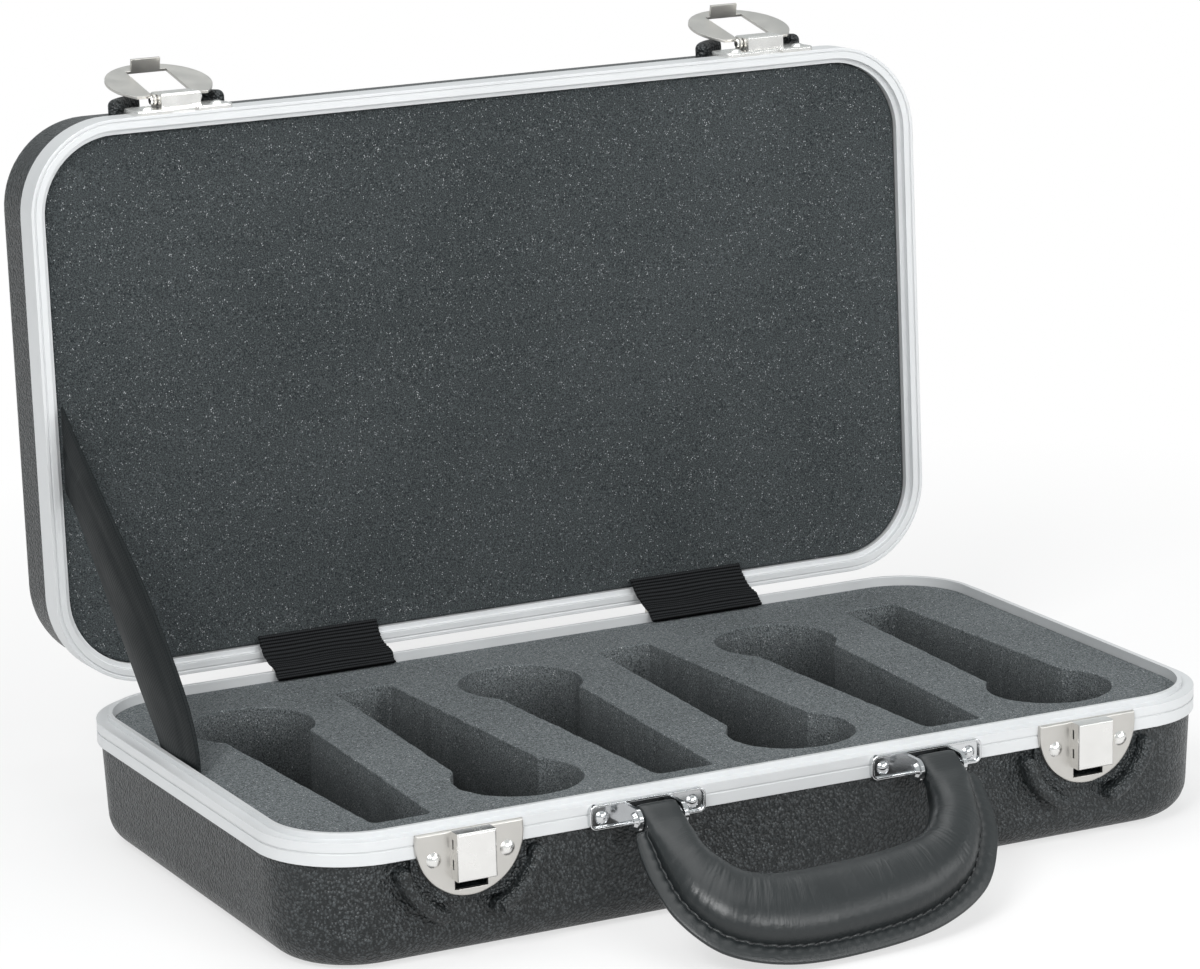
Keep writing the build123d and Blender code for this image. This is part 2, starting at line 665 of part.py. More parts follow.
# hinge box and plate for each hasp, pressed from one sheet
with BuildPart() as mounts_closed:
    with BuildSketch(front_face):
        with Locations(*[(x, base_height + 0.3 + mount_height / 2) for x in latches]):
            RectangleRounded(2 * mount_half, mount_height, 3)
        with Locations(*mount_rivets):
            Circle(rivet_radius + rivet_fit, mode=Mode.SUBTRACT)
        with Locations(*[(x, base_height + 0.3) for x in latches]):
            Rectangle(2 * notch_half, 2 * notch_height, mode=Mode.SUBTRACT)
    extrude(amount=mount_thick)
    rims = mounts_closed.faces().sort_by(Axis.Y)[:2]
    fillet([edge for rim in rims for edge in rim.outer_wire().edges()], mount_edge)
    barrel_middle = base_height + (barrel_low + barrel_high) / 2
    for x in latches:
        with BuildSketch(front_face.offset(mount_thick)) as outside:
            with Locations((x, barrel_middle)):
                Rectangle(2 * barrel_half, barrel_high - barrel_low)
        extrude(outside.sketch, amount=barrel_reach - mount_thick)
    fillet(mounts_closed.faces().sort_by(Axis.Y)[:2].edges(), 0.8 * barrel_wall)
    for x in latches:
        with BuildSketch(front_face.offset(mount_thick)) as hollow:
            with Locations((x, barrel_middle + barrel_wall)):
                Rectangle(2 * (barrel_half - barrel_wall), barrel_high - barrel_low)
        extrude(hollow.sketch, amount=barrel_reach - barrel_wall - mount_thick,
                mode=Mode.SUBTRACT)
        with BuildSketch(Plane.YZ.offset(x - 2 * barrel_half)) as bore:
            with Locations((front - hasp_pin_out, hasp_pin_height)):
                Circle(hasp_pin_radius + rivet_fit)
        extrude(bore.sketch, amount=4 * barrel_half, mode=Mode.SUBTRACT)

lug_start = barrel_half + hasp_side_gap
lug_end = lug_start + hasp_lug_thick
with BuildPart() as hasp_pins_closed:
    for x in latches:
        with BuildSketch(Plane.YZ.offset(x - lug_end - 0.3)) as pin:
            with Locations((front - hasp_pin_out, hasp_pin_height)):
                Circle(hasp_pin_radius)
        extrude(pin.sketch, amount=2 * (lug_end + 0.3))
        for side in (-1, 1):
            with BuildSketch(Plane.YZ.offset(x + side * (lug_end + 0.3))) as button:
                with Locations((front - hasp_pin_out, hasp_pin_height)):
                    Circle(hasp_pin_radius + 0.5)
            extrude(button.sketch, amount=side * 0.8, taper=25)

# the hasp: a disc with a window that drops over the catch box, two lugs on the pin
# and a tongue, bent from the window, that springs into the slot below the box
sheet_out = hasp_pin_out - hasp_thick
disc_middle = hasp_pin_height - hasp_disc_drop
tongue_height_closed = hasp_pin_height - hasp_tongue_drop
with BuildPart() as hasps_closed:
    for x in latches:
        with BuildSketch(front_face.offset(sheet_out)) as sheet:
            with Locations((x, disc_middle)):
                Circle(hasp_radius)
            with Locations((x, hasp_pin_height - hasp_top_drop + hasp_radius)):
                Rectangle(4 * hasp_radius, 2 * hasp_radius, mode=Mode.SUBTRACT)
            with Locations((x, tongue_height_closed + hasp_radius)):
                Rectangle(2 * lug_start, 2 * hasp_radius, mode=Mode.SUBTRACT)
        extrude(sheet.sketch, amount=hasp_thick)
        with BuildSketch(front_face.offset(sheet_out + hasp_thick)) as tongue:
            with Locations((x, tongue_height_closed - hasp_thick / 2)):
                Rectangle(2 * hasp_tongue_half, hasp_thick)
        extrude(tongue.sketch, amount=-hasp_tongue)
        for side in (-1, 1):
            lug_x = x + (lug_start if side > 0 else -lug_end)
            with BuildSketch(Plane.YZ.offset(lug_x)) as lug:
                with Locations((front - hasp_pin_out, hasp_pin_height)):
                    Circle(hasp_lug_radius)
                with Locations((front - sheet_out - hasp_thick / 2,
                                hasp_pin_height - hasp_top_drop)):
                    Rectangle(hasp_thick, 2 * hasp_top_drop)
                with Locations((front - hasp_pin_out, hasp_pin_height)):
                    Circle(hasp_pin_radius + pin_fit, mode=Mode.SUBTRACT)
            extrude(lug.sketch, amount=hasp_lug_thick)

lid_rest = -lid_open_angle
with BuildPart() as lid_shell:
    add(lid_shell_closed.part.rotate(hinge_axis, lid_rest))
lid_shell.part.label = "lid_shell"

with BuildPart() as lid_frame:
    add(lid_frame_closed.part.rotate(hinge_axis, lid_rest))
lid_frame.part.label = "lid_frame"

with BuildPart() as lid_foam:
    add(lid_foam_closed.part.rotate(hinge_axis, lid_rest))
lid_foam.part.label = "lid_foam"

lid_leaf = hinge_leaf((1, 3), base_height + 0.2, lid_frame_top - 0.4, 1, lid_rivet_height)
with BuildPart() as lid_hinge_leaf_right:
    add(lid_leaf.rotate(hinge_axis, lid_rest))
lid_hinge_leaf_right.part.label = "lid_hinge_leaf_right"

with BuildPart() as lid_hinge_leaf_left:
    mirror(lid_hinge_leaf_right.part, about=Plane.YZ)
lid_hinge_leaf_left.part.label = "lid_hinge_leaf_left"

with BuildPart() as lid_rivets_closed:
    rivet(rear_face.offset(leaf_thick), [(x, lid_rivet_height) for x in hinge_rivet_x],
          leaf_thick, head=2.0, dome=1.0, radius=1.2)

with BuildPart() as lid_hinge_rivets:
    add(lid_rivets_closed.part.rotate(hinge_axis, lid_rest))
lid_hinge_rivets.part.label = "lid_hinge_rivets"

with BuildPart() as mounts_open:
    add(mounts_closed.part.rotate(hinge_axis, lid_rest))

with BuildPart() as hasp_mount_left:
    add(mounts_open.solids().sort_by(Axis.X)[0])
hasp_mount_left.part.label = "hasp_mount_left"

with BuildPart() as hasp_mount_right:
    add(mounts_open.solids().sort_by(Axis.X)[-1])
hasp_mount_right.part.label = "hasp_mount_right"

with BuildPart() as mount_rivets_closed:
    rivet(front_face.offset(mount_thick), mount_rivets, mount_thick, dome=mount_dome)

with BuildPart() as hasp_mount_rivets:
    add(mount_rivets_closed.part.rotate(hinge_axis, lid_rest))
hasp_mount_rivets.part.label = "hasp_mount_rivets"

with BuildPart() as pins_open:
    add(hasp_pins_closed.part.rotate(hinge_axis, lid_rest))

with BuildPart() as hasp_pin_left:
    add(pins_open.solids().sort_by(Axis.X)[0])
hasp_pin_left.part.label = "hasp_pin_left"

with BuildPart() as hasp_pin_right:
    add(pins_open.solids().sort_by(Axis.X)[-1])
hasp_pin_right.part.label = "hasp_pin_right"

with BuildPart() as hasps_open:
    add(hasps_closed.part.rotate(hasp_axis, -hasp_open_angle).rotate(hinge_axis, lid_rest))

with BuildPart() as hasp_left:
    add(hasps_open.solids().sort_by(Axis.X)[0])
hasp_left.part.label = "hasp_left"

with BuildPart() as hasp_right:
    add(hasps_open.solids().sort_by(Axis.X)[-1])
hasp_right.part.label = "hasp_right"

# ======================== cloth pieces ====================================
# a woven cover over each hinge, from the base foam to the lid foam
with BuildPart() as hinge_cover_right:
    with BuildSketch(Plane.YZ.offset(hinge_place - cover_width / 2)):
        with BuildLine():
            run = FilletPolyline((rear - cover_reach, foam_top + cloth_thick),
                                 (rear - tongue_end, tongue_top + 0.75 * cloth_thick),
                                 (rear - knuckle_radius, tongue_top + cloth_thick),
                                 (rear + cover_turn, tongue_top + 0.6 * cover_rise),
                                 (rear + cover_far, tongue_top + cover_rise), radius=2)
            offset(run, amount=cloth_thick / 2, side=Side.BOTH)
        make_face()
    extrude(amount=cover_width)
hinge_cover_right.part.label = "hinge_cover_right"

with BuildPart() as hinge_cover_left:
    mirror(hinge_cover_right.part, about=Plane.YZ)
hinge_cover_left.part.label = "hinge_cover_left"

# the stay strap: a cupped band from the base foam to the lid foam on the left side
# (along the depth, height, direction it runs in, half its width)
strap_x = -(width / 2 - strap_from_end)
strap_line = [(16, foam_top + 0.9, 90, 18.5), (17.5, 60, 66, 18.6), (28, 72, 47, 18.8),
              (50, 90, 41, 18.6), (72, 108.5, 40.5, 17.6), (95, 127.5, 41, 15.2),
              (117, 147, 40, 13.2), (rear + cover_far, 161, 0, 12.5)]


def strap_section(y, z, heading, half):
    """A shallow arc across the strap, at right angles to the way it runs."""
    across = Vector(0, -sin(radians(heading)), cos(radians(heading)))
    run = Vector(0, cos(radians(heading)), sin(radians(heading)))
    plane = Plane(origin=(strap_x, y, z), x_dir=across, z_dir=run)
    with BuildSketch(plane) as section:
        with BuildLine():
            ThreePointArc((-half, 0), (0, -strap_sag), (half, 0))
            Line((half, 0), (half, -cloth_thick))
            ThreePointArc((half, -cloth_thick), (0, -strap_sag - cloth_thick),
                          (-half, -cloth_thick))
            Line((-half, -cloth_thick), (-half, 0))
        make_face()
    return section.sketch.faces()[0]


with BuildPart() as stay_strap:
    loft([strap_section(*point) for point in strap_line])
stay_strap.part.label = "stay_strap"

# ======================== one file for each piece =========================
pieces = [
    base_shell, base_frame, base_foam, latch_plate_left, latch_plate_right,
    latch_box_left, latch_box_right, latch_spring_left, latch_spring_right,
    base_latch_rivets, handle_bracket_left, handle_bracket_right, bracket_rivets,
    handle_pin_left, handle_pin_right, handle_eye_left, handle_eye_right, handle_grip,
    base_hinge_leaf_left, base_hinge_leaf_right, hinge_pin_left, hinge_pin_right,
    base_hinge_rivets, lid_shell, lid_frame, lid_foam, lid_hinge_leaf_left,
    lid_hinge_leaf_right, lid_hinge_rivets, hasp_mount_left, hasp_mount_right,
    hasp_mount_rivets, hasp_pin_left, hasp_pin_right, hasp_left, hasp_right,
    hinge_cover_left, hinge_cover_right, stay_strap,
]
os.makedirs("parts", exist_ok=True)
for piece in pieces:
    export_step(piece.part, f"parts/{piece.part.label}.step")
    print(piece.part.label, round(piece.part.volume, 1), piece.part.is_valid)
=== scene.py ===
# %% [markdown]
# # A microphone case, standing open
#
# The case is already modelled as rigid parts: two moulded shells, two aluminium
# closing frames, hinges, hasps, catches and a handle on pins. This lesson dresses
# those parts with finishes, and builds what metal-working shapes can't show: foam
# cut with a knife, a padded handle, a cloth strap and woven covers.
# The scene is in metres, in the same frame as the rigid parts. Lists of stations
# are in millimetres, as they were measured, and `MM` turns them into metres.

# %% Load the rigid parts
import math

import bpy
import numpy as np
from mathutils import Matrix, Vector


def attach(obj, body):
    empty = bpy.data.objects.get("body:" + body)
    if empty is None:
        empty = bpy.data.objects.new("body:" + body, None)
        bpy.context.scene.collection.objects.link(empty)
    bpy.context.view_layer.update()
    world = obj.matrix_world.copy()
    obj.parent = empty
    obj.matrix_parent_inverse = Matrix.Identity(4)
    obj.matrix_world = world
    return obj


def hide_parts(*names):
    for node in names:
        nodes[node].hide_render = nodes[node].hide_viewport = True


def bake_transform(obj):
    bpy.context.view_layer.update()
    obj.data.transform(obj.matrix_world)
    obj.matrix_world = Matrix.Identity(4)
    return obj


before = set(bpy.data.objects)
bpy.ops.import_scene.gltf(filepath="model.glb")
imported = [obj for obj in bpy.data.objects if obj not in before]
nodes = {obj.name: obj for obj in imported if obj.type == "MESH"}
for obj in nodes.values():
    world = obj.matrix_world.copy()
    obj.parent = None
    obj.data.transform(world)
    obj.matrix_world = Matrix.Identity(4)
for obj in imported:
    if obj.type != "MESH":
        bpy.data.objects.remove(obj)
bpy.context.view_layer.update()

# %% [markdown]
# ## The camera
#
# The case is seen from its front left corner, a little above the rim, through a
# long lens. The place and the three turns were solved from edges of the case that
# are straight and level on the real one, so no shift is needed.

# %% Stand the camera where the case was seen from
MM = 0.001
camera_place = Vector((-880.84, -1704.95, 606.2)) * MM
yaw, pitch, roll = (math.radians(a) for a in (26.803, -13.415, -1.414))
focal_pixels, image_width = 4691.5, 1200.0

ahead = Vector((math.sin(yaw) * math.cos(pitch), math.cos(yaw) * math.cos(pitch),
                math.sin(pitch)))
level = Vector((math.cos(yaw), -math.sin(yaw), 0.0))
upward = level.cross(ahead)
right = math.cos(roll) * level + math.sin(roll) * upward
top = -math.sin(roll) * level + math.cos(roll) * upward

lens = bpy.data.cameras.new("view")
lens.sensor_fit = "HORIZONTAL"
lens.sensor_width = 36.0
lens.lens = focal_pixels / image_width * lens.sensor_width
lens.clip_end = 60.0
camera = bpy.data.objects.new("view", lens)
bpy.context.scene.collection.objects.link(camera)
turn = Matrix((right, top, -ahead)).transposed()
camera.matrix_world = Matrix.Translation(camera_place) @ turn.to_4x4()
bpy.context.scene.camera = camera
print("lens:", round(lens.lens, 1), "mm")

# %% [markdown]
# ## Shader sums as plain arithmetic
#
# A finish is a small network of nodes. Placing each node by hand hides what the
# network works out, so a `Wire` wraps a node's output and turns + - * and ** into
# Math nodes, and a `Finish` holds one material and adds any other node by its type.
# Colours and vectors never pass through Math nodes, which would turn them grey.

# %% A wire that can be added and multiplied
class Wire:
    """One output of a node. Sums of wires and numbers add Math nodes."""

    def __init__(self, finish, socket):
        self.finish = finish
        self.socket = socket

    def sum(self, operation, first, second):
        return self.finish.node("ShaderNodeMath", {"operation": operation}, first, second)

    def __add__(self, other):
        return self.sum("ADD", self, other)

    def __rsub__(self, other):
        return self.sum("SUBTRACT", other, self)

    def __mul__(self, other):
        return self.sum("MULTIPLY", self, other)

    def __pow__(self, other):
        return self.sum("POWER", self, other)

    __radd__ = __add__
    __rmul__ = __mul__


# %% A finish: one material and the nodes behind it
class Finish:
    """A material around one Principled shader, built in the object's own frame."""

    def __init__(self, name, color, roughness, **constants):
        self.material = bpy.data.materials.new(name)
        self.material.use_nodes = True
        self.tree = self.material.node_tree
        self.shader = self.tree.nodes["Principled BSDF"]
        self.shader.inputs["Base Color"].default_value = (*color, 1.0)
        self.shader.inputs["Roughness"].default_value = roughness
        for words, value in constants.items():
            socket = words.replace("_", " ").title().replace("Ior", "IOR")
            self.shader.inputs[socket].default_value = value
        self.material.diffuse_color = (*color, 1.0)

    def node(self, kind, settings=None, *values, output=0, **named):
        """Adds a node: its settings first, then values or wires for its inputs."""
        made = self.tree.nodes.new(kind)
        for key, value in (settings or {}).items():
            setattr(made, key, value)
        inputs = list(enumerate(values)) + [(k.replace("_", " "), v) for k, v in named.items()]
        for key, value in inputs:
            if isinstance(value, Wire):
                self.tree.links.new(value.socket, made.inputs[key])
            else:
                made.inputs[key].default_value = value
        return Wire(self, made.outputs[output])

    def place(self, stretch=(1.0, 1.0, 1.0)):
        """Points of the piece in metres, stretched for a texture."""
        points = self.node("ShaderNodeTexCoord", output="Object")
        return self.node("ShaderNodeMapping", {}, points, Scale=stretch)

    def noise(self, size, detail=2.0, roughness=0.5, stretch=(1.0, 1.0, 1.0)):
        """Clouds whose blotches are about size metres across, from 0 to 1."""
        return self.node("ShaderNodeTexNoise", {}, self.place(stretch),
                         Scale=1.0 / size, Detail=detail, Roughness=roughness)

    def cells(self, size):
        """Pebbles about size metres across: 0 in the middle of each."""
        return self.node("ShaderNodeTexVoronoi", {}, self.place(), Scale=1.0 / size)

    def bands(self, direction, count, distortion, detail=2.0):
        """Count soft stripes a metre, as threads in a cloth."""
        return self.node("ShaderNodeTexWave",
                         {"wave_type": "BANDS", "bands_direction": direction}, self.place(),
                         Scale=count, Distortion=distortion, Detail=detail)

    def between(self, amount, first, second):
        """A colour between two colours."""
        mix = self.node("ShaderNodeMix", {"data_type": "RGBA"}, amount, output=2)
        for index, value in ((6, first), (7, second)):
            socket = mix.socket.node.inputs[index]
            if isinstance(value, Wire):
                self.tree.links.new(value.socket, socket)
            else:
                socket.default_value = (*value, 1.0)
        return mix

    def fade(self, wire, low, high):
        """A wire stretched so that low gives 0 and high gives 1, cut off outside."""
        return self.node("ShaderNodeMapRange", {"clamp": True}, wire, low, high, 0.0, 1.0)

    def feed(self, **wires):
        """Leads wires into the shader's inputs."""
        for words, wire in wires.items():
            self.tree.links.new(wire.socket, self.shader.inputs[words.replace("_", " ").title()])

    def bump(self, height, depth, strength, normal=None):
        """Turns a height from 0 to 1 into relief depth metres deep."""
        extra = {"Normal": normal} if normal else {}
        return self.node("ShaderNodeBump", {}, Strength=strength, Distance=depth,
                         Height=height, **extra)

    def round_edges(self, radius):
        """Sharp edges catch light as if they were broken with a file."""
        return self.node("ShaderNodeBevel", {"samples": 8}, radius)


# %% [markdown]
# ## Finishes of the rigid parts
#
# The shells are black polyethylene moulded against a grained tool, so the grain is
# shallow pebbles a millimetre or so across. Their tops are shinier, and their glints
# are also painted as a paler colour on the tops. The frames are satin anodised
# aluminium. The hasps and catches are nickel, and the handle's brackets are bright
# chrome. Each metal has its small marks: smears and fine drawing lines, and edges
# that catch the light.

# %% Black moulded shell
def moulded_black():
    """Grained plastic whose pebble tops are shinier and carry painted glints, a paler colour."""
    shell = Finish("moulded black", (0.018, 0.021, 0.022), 0.30, specular_ior_level=0.38)
    pebbles = shell.cells(0.00125)
    fine = shell.noise(0.00080, 2.0)
    lumps = shell.noise(0.0030, 2.0)
    height = (1.0 - pebbles) * 0.7 + fine * 0.3 + lumps * 0.5
    # Painted glints: the pebble tops are mixed towards a pale colour, as well as made shinier.
    glint_tops = shell.fade(height, 0.72, 1.10)
    worn = shell.fade(shell.noise(0.12, 3.0), 0.35, 0.7)
    body = shell.between(worn, (0.0060, 0.0078, 0.0085), (0.0145, 0.0178, 0.0190))
    shell.feed(base_color=shell.between(glint_tops, body, (0.070, 0.079, 0.083)),
               roughness=0.36 - 0.14 * glint_tops,
               normal=shell.bump(height, 0.0010, 1.0))
    return shell.material


# %% Satin aluminium
def satin_aluminium():
    """Pale matt metal with slow smears."""
    metal = Finish("satin aluminium", (0.78, 0.79, 0.80), 0.42, metallic=0.3)
    smear = metal.noise(0.03, 4.0)
    grain = metal.noise(0.0005, 2.0)
    metal.feed(base_color=metal.between(smear, (0.64, 0.653, 0.662), (0.725, 0.735, 0.743)),
               roughness=0.40 + 0.10 * smear,
               normal=metal.bump(grain, 0.00002, 0.3, metal.round_edges(0.00035)))
    return metal.material


# %% Nickel and chrome
def plated(name, color, roughness, rounding=None):
    """Plated metal with faint drawing lines; rounding softens its sharp edges."""
    metal = Finish(name, color, roughness, metallic=1.0)
    smear = metal.noise(0.008, 4.0)
    darker = tuple(c * 0.86 for c in color)
    fine = metal.noise(0.0006, 2.0, stretch=(0.15, 1.0, 1.0))
    metal.feed(base_color=metal.between(smear, darker, color),
               roughness=roughness * 0.7 + smear * roughness * 0.7,
               normal=metal.bump(fine, 0.000008, 0.2,
                                 metal.round_edges(rounding) if rounding else None))
    return metal.material


shell_black = moulded_black()
frame_metal = satin_aluminium()
nickel = plated("satin nickel", (0.63, 0.613, 0.583), 0.36, 0.0004)
bright_nickel = plated("bright nickel", (0.86, 0.85, 0.83), 0.24)
chrome = plated("bright chrome", (0.68, 0.69, 0.70), 0.13)
spring_steel = plated("spring steel", (0.52, 0.52, 0.52), 0.30, 0.0002)


# %% Dress the rigid parts
def dress(material, *starts):
    """Gives a finish to the parts whose names start with one of the words."""
    parts = [part for name, part in nodes.items() if name.startswith(starts)]
    for part in parts:
        part.data.materials.clear()
        part.data.materials.append(material)
    print(material.name, "on", len(parts), "parts")


dress(nickel, "latch_plate", "hasp_left", "hasp_right", "base_hinge", "lid_hinge", "hinge_pin")
dress(bright_nickel, "latch_box", "hasp_mount", "hasp_pin", "base_latch")
dress(chrome, "handle_bracket", "bracket", "handle_pin", "handle_eye")
dress(spring_steel, "latch_spring")
dress(shell_black, "base_shell", "lid_shell")
dress(frame_metal, "base_frame", "lid_frame")

# %% [markdown]
# ## Foam
#
# Both foams are open-cell sheet: soft grey, with cells a fraction of a millimetre
# across whose walls glint. The glints are painted as pale specks. The bed is cut
# with a knife along a template, so its slots wander a little from true and their
# upper edges are softly rounded. Painted shade darkens the slot walls from the rim
# down to the floor. A filled 2-D curve gives those outlines, holes, walls and
# rounded edges in one go.

# %% Speckled foam
GLINTS = 0.95


def speckled_foam(name, dark, light, glint, floor=None, rim=None):
    """Foam of two greys with painted glints as pale specks, and painted shade from a rim down to
    a floor.
    """
    foam = Finish(name, light, 0.95, specular_ior_level=0.2)
    clouds = foam.noise(0.06, 3.0)
    grit = foam.noise(0.00062, 2.0, 0.8)
    body = foam.between(foam.fade(grit * 0.9 + clouds * 0.1, 0.36, 0.64), dark, light)
    # Painted glints: a pale colour on a chosen few of the small cells.
    chosen = foam.fade(foam.noise(0.0019, 1.0), 0.50, 0.72)
    sparkle = foam.fade(foam.cells(0.00095), 0.34, 0.10) * chosen
    color = foam.between(sparkle * GLINTS, body, glint)
    # Painted shade: below the rim the colour darkens down to the floor, where shade falls in the
    # slots.
    if rim:
        points = foam.node("ShaderNodeTexCoord", output="Object")
        high = foam.node("ShaderNodeSeparateXYZ", {}, points, output=2)
        depth = foam.fade(high + 0.012 * foam.noise(0.02), rim, floor)
        color = foam.between(depth ** 0.6 * 0.82, color, (0.007, 0.0085, 0.009))
    foam.feed(base_color=color, normal=foam.bump(grit, 0.0007, 0.9))
    return foam.material


# The bed's rim and floor heights bound the painted shade in its slots.
bed_grey = speckled_foam("bed foam", (0.034, 0.041, 0.044), (0.235, 0.256, 0.264),
                         (0.72, 0.74, 0.75), floor=0.026, rim=0.0545)
pad_grey = speckled_foam("lid foam", (0.012, 0.0165, 0.018), (0.088, 0.099, 0.103),
                         (0.60, 0.62, 0.63))


# %% Outlines in the plan of the case
CORNER_STEP = 0.004


def rounded_rectangle(width, depth, radius):
    """Points round a rectangle with round corners, anticlockwise."""
    points = []
    for corner in range(4):
        quarter = math.pi / 2 * corner
        sx, sy = ((1, 1), (-1, 1), (-1, -1), (1, -1))[corner]
        cx, cy = sx * (width / 2 - radius), sy * (depth / 2 - radius)
        count = max(4, int(radius * math.pi / 2 / CORNER_STEP))
        for k in range(count + 1):
            a = quarter + math.pi / 2 * k / count
            points.append((cx + radius * math.cos(a), cy + radius * math.sin(a)))
    return points


def even_points(points, step):
    """The same closed outline with points every step or so."""
    ring = np.array(points + points[:1])
    reach = np.concatenate(([0], np.cumsum(np.linalg.norm(np.diff(ring, axis=0), axis=1))))
    stops = np.arange(0, reach[-1], step)
    return np.column_stack([np.interp(stops, reach, ring[:, k]) for k in (0, 1)])


KNIFE_SWAY = 0.00045


def knife_wander(points, seed):
    """Moves an outline in and out as a hand-held knife does."""
    rng = np.random.default_rng(seed)
    along = np.linspace(0, 2 * math.pi, len(points), endpoint=False)
    sway = sum(rng.uniform(-1, 1) * np.sin(k * along + rng.uniform(0, 6.28)) / (1 + 0.03 * k)
               for k in range(3, 55))
    sway *= KNIFE_SWAY / np.abs(sway).max()
    edge = np.roll(points, -1, axis=0) - np.roll(points, 1, axis=0)
    outward = np.column_stack((edge[:, 1], -edge[:, 0]))
    outward /= np.linalg.norm(outward, axis=1)[:, None]
    return points + outward * sway[:, None]


# %% A slab of foam with holes, from a filled curve
def foam_slab(name, outlines, low, high, rounding):
    """A slab between two heights; its rounded edges stay inside the outlines."""
    curve = bpy.data.curves.new(name, "CURVE")
    curve.dimensions = "2D"
    curve.fill_mode = "BOTH"
    for outline in outlines:
        spline = curve.splines.new("POLY")
        spline.points.add(len(outline) - 1)
        for point, (x, y) in zip(spline.points, outline):
            point.co = (x, y, 0.0, 1.0)
        spline.use_cyclic_u = True
    curve.bevel_depth = rounding
    curve.bevel_resolution = 3
    curve.offset = -rounding
    curve.extrude = (high - low) / 2 - rounding
    shape = bpy.data.objects.new(name + "_curve", curve)
    bpy.context.scene.collection.objects.link(shape)
    bpy.context.view_layer.update()
    mesh = bpy.data.meshes.new_from_object(
        shape.evaluated_get(bpy.context.evaluated_depsgraph_get()))
    bpy.data.objects.remove(shape)
    mesh.transform(Matrix.Translation((0, 0, (low + high) / 2)))
    return mesh


def piece(name, mesh, material, body=None, smooth=True):
    """A mesh as an object with its material; it rides on a body if one is named."""
    mesh.name = name
    mesh.materials.clear()
    mesh.materials.append(material)
    made = bpy.data.objects.new(name, mesh)
    bpy.context.scene.collection.objects.link(made)
    mesh.polygons.foreach_set("use_smooth", [smooth] * len(mesh.polygons))
    mesh.update()
    if body:
        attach(made, body)
    print(name, len(mesh.vertices), "points")
    return made


# %% [markdown]
# The slots are the outline of a hand-held microphone: a round head and a handle
# that narrows to its end. Every other one is turned round so that heads lie beside
# handles. The floor of the slots is a second sheet under the cut one.

# %% The foam bed
BED_WIDTH, BED_DEPTH, BED_CORNER = 0.4156, 0.2296, 0.0328
BED_TOP, SLOT_FLOOR, BED_BOTTOM = 0.053, 0.008, 0.0035
CUT_ROUNDING, FLOOR_MARGIN, OVERLAP = 0.0006, 0.006, 0.0005
SLOTS, SLOT_PITCH, SLOT_STEP = 6, 0.06326, 0.0022
HEAD_RADIUS, NECK_WIDE, NECK_NARROW, END_TRIM = 0.027, 0.019, 0.013, 0.0016
HEAD_TO_REAR = (1, 0.057, 0.036, -0.095)
HEAD_TO_FRONT = (-1, -0.0685, -0.0475, 0.0835)


def slot_outline(x, facing, head_y, neck_y, end_y):
    """A microphone in plan, with its head to the rear (1) or to the front (-1)."""
    meet = math.acos(NECK_WIDE / HEAD_RADIUS)
    arc = [(x + HEAD_RADIUS * math.cos(a), head_y + facing * HEAD_RADIUS * math.sin(a))
           for a in np.linspace(-meet, math.pi + meet, 28)]
    corner_y = end_y + facing * END_TRIM
    handle = [(x - NECK_WIDE, neck_y), (x - NECK_NARROW, corner_y),
              (x - NECK_NARROW + END_TRIM, end_y), (x + NECK_NARROW - END_TRIM, end_y),
              (x + NECK_NARROW, corner_y), (x + NECK_WIDE, neck_y)]
    return arc + handle


slots = []
for number in range(SLOTS):
    slot_x = (number - (SLOTS - 1) / 2) * SLOT_PITCH
    outline = slot_outline(slot_x, *(HEAD_TO_FRONT if number % 2 else HEAD_TO_REAR))
    slots.append(knife_wander(even_points(outline, SLOT_STEP), 40 + number))

bed_edge = rounded_rectangle(BED_WIDTH, BED_DEPTH, BED_CORNER)
bed_mesh = foam_slab("foam_bed", [bed_edge] + slots, SLOT_FLOOR - OVERLAP, BED_TOP, CUT_ROUNDING)
bed = piece("foam_bed", bed_mesh, bed_grey, "base", smooth=False)
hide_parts("base_foam")

inner_edge = rounded_rectangle(BED_WIDTH - 2 * FLOOR_MARGIN, BED_DEPTH - 2 * FLOOR_MARGIN,
                               BED_CORNER - FLOOR_MARGIN)
floor_mesh = foam_slab("foam_floor", [inner_edge], BED_BOTTOM, SLOT_FLOOR, CUT_ROUNDING)
bed_floor = piece("foam_floor", floor_mesh, bed_grey, "base", smooth=False)

# %% [markdown]
# The lid's pad is one flat sheet. It is laid out with the lid closed and then
# turned with it about the hinge, so that it stays true to the frame round it.

# %% The lid's foam pad
HINGE = Vector((0.0, 0.127, 0.0529))
LID_OPEN = math.radians(92.1)
PAD_LOW, PAD_HIGH, PAD_ROUNDING = 0.0593, 0.0950, 0.0014


def turned(centre, angle):
    """A turn about an axis that runs along the case through a centre."""
    return (Matrix.Translation(centre) @ Matrix.Rotation(angle, 4, "X")
            @ Matrix.Translation(-centre))


pad_mesh = foam_slab("foam_pad", [bed_edge], PAD_LOW, PAD_HIGH, PAD_ROUNDING)
pad_mesh.transform(turned(HINGE, -LID_OPEN))
pad = piece("foam_pad", pad_mesh, pad_grey, "lid", smooth=False)
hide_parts("lid_foam")

# %% [markdown]
# ## Swept cloth and padding
#
# The handle's grip, the strap and the hinge covers are all a section carried along
# a line while it grows, turns and narrows. A grid of points does that plainly: one
# row for each station along the line and one column for each point of the section.
# Smooth rows come from a curve through a few measured stations.

# %% A smooth way through stations, and a skin over rows of points
def through(stations, count):
    """Rows on a smooth curve through a few stations of numbers."""
    rows = np.array(stations, float)
    ends = np.vstack([2 * rows[0] - rows[1], rows, 2 * rows[-1] - rows[-2]])
    at = np.linspace(0, len(rows) - 1, count)
    first = np.minimum(at.astype(int), len(rows) - 2)
    t = (at - first)[:, None]
    a, b, c, d = (ends[first + k] for k in range(4))
    return 0.5 * (2 * b + (c - a) * t + (2 * a - 5 * b + 4 * c - d) * t ** 2
                  + (3 * b - a - 3 * c + d) * t ** 3)


